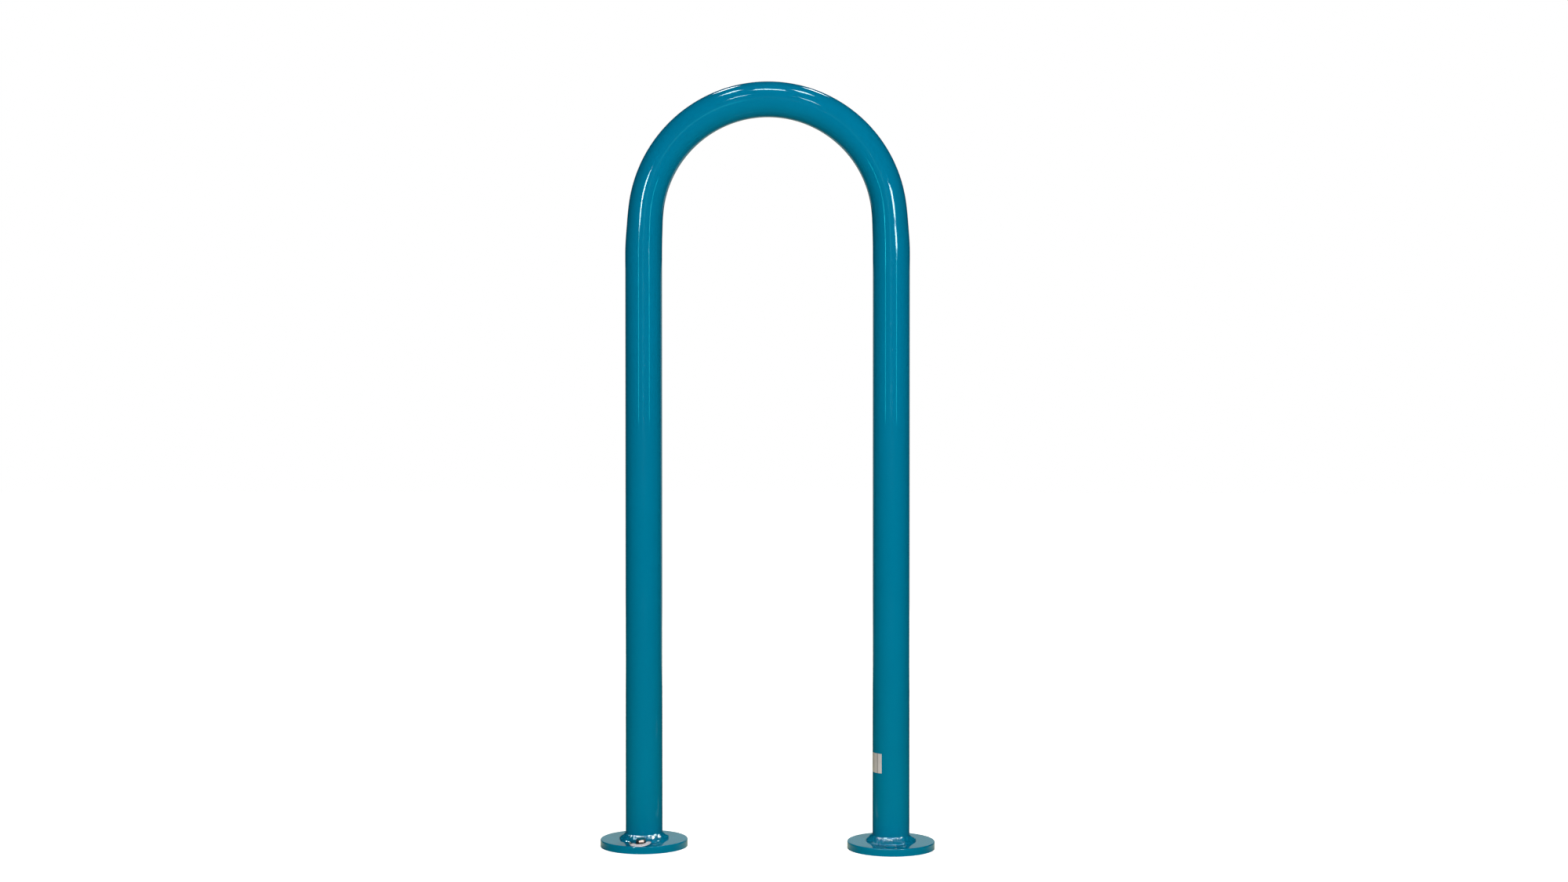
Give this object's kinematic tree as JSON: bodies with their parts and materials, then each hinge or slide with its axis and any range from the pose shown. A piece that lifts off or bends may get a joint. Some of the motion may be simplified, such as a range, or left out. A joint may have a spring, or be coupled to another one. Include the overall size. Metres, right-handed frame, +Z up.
{
  "type": "hoop bike rack",
  "caption": "Hoop bike rack: a bent pipe with a half-round top, welded at its feet to round base flanges that are bolted to the ground.",
  "frame": {"origin": "on the ground, midway between the two legs", "axes": "+Z up, +X from the left leg to the right one as seen from the front, -Y the front"},
  "size_m": [0.4382, 0.1142, 1],
  "materials": {
    "powder_coat": "glossy teal powder coat on steel",
    "label_film": "bare satin film, slightly creased",
    "washer_steel": "bright zinc-plated steel",
    "screw_steel": "dull yellowish zinc-plated steel"
  },
  "bodies": {
    "root": {"hoop_tube": "powder_coat", "left_base_flange": "powder_coat", "right_base_flange": "powder_coat", "left_base_weld": "powder_coat", "right_base_weld": "powder_coat", "label": "label_film", "anchor_washer": "washer_steel", "anchor_screw": "screw_steel"}
  },
  "joints": []
}
